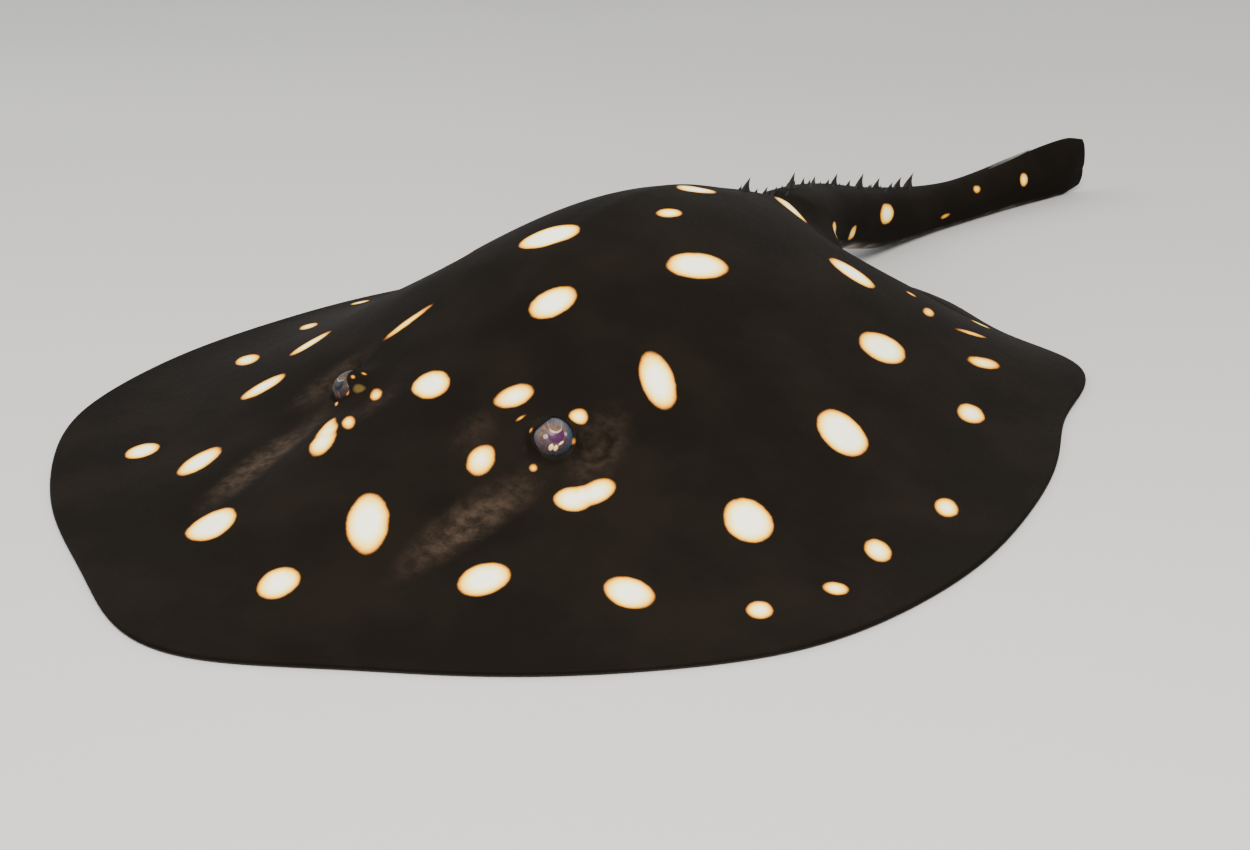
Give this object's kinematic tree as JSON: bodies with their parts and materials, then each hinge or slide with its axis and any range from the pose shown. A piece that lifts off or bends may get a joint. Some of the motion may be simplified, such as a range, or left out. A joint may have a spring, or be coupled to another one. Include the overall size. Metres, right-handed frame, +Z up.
{
  "type": "freshwater stingray",
  "caption": "Life-size still model of a black, white-spotted freshwater stingray lying arched on the floor, with a short thorny tail.",
  "frame": {"origin": "bottom centre of the whole animal's box, on the floor", "axes": "+Y from snout to tail, +X to the animal's left, +Z up"},
  "size_m": [0.392, 0.7298, 0.0838],
  "materials": {
    "skin": "near-black moist skin with cream spots edged in orange, pale underneath",
    "eye": "wet, gold-flecked iris with a dark scalloped pupil",
    "sting": "grey-brown bone in a thin sheath"
  },
  "bodies": {
    "root": {"head": "skin", "trunk": "skin", "pectoral_fin_front_left": "skin", "pectoral_fin_rear_left": "skin", "pectoral_fin_front_right": "skin", "pectoral_fin_rear_right": "skin", "pelvic_fin_left": "skin", "pelvic_fin_right": "skin", "tail_root": "skin", "tail_middle": "skin", "tail_end": "skin", "eye_left": "eye", "eye_right": "eye", "sting": "sting"}
  },
  "joints": []
}
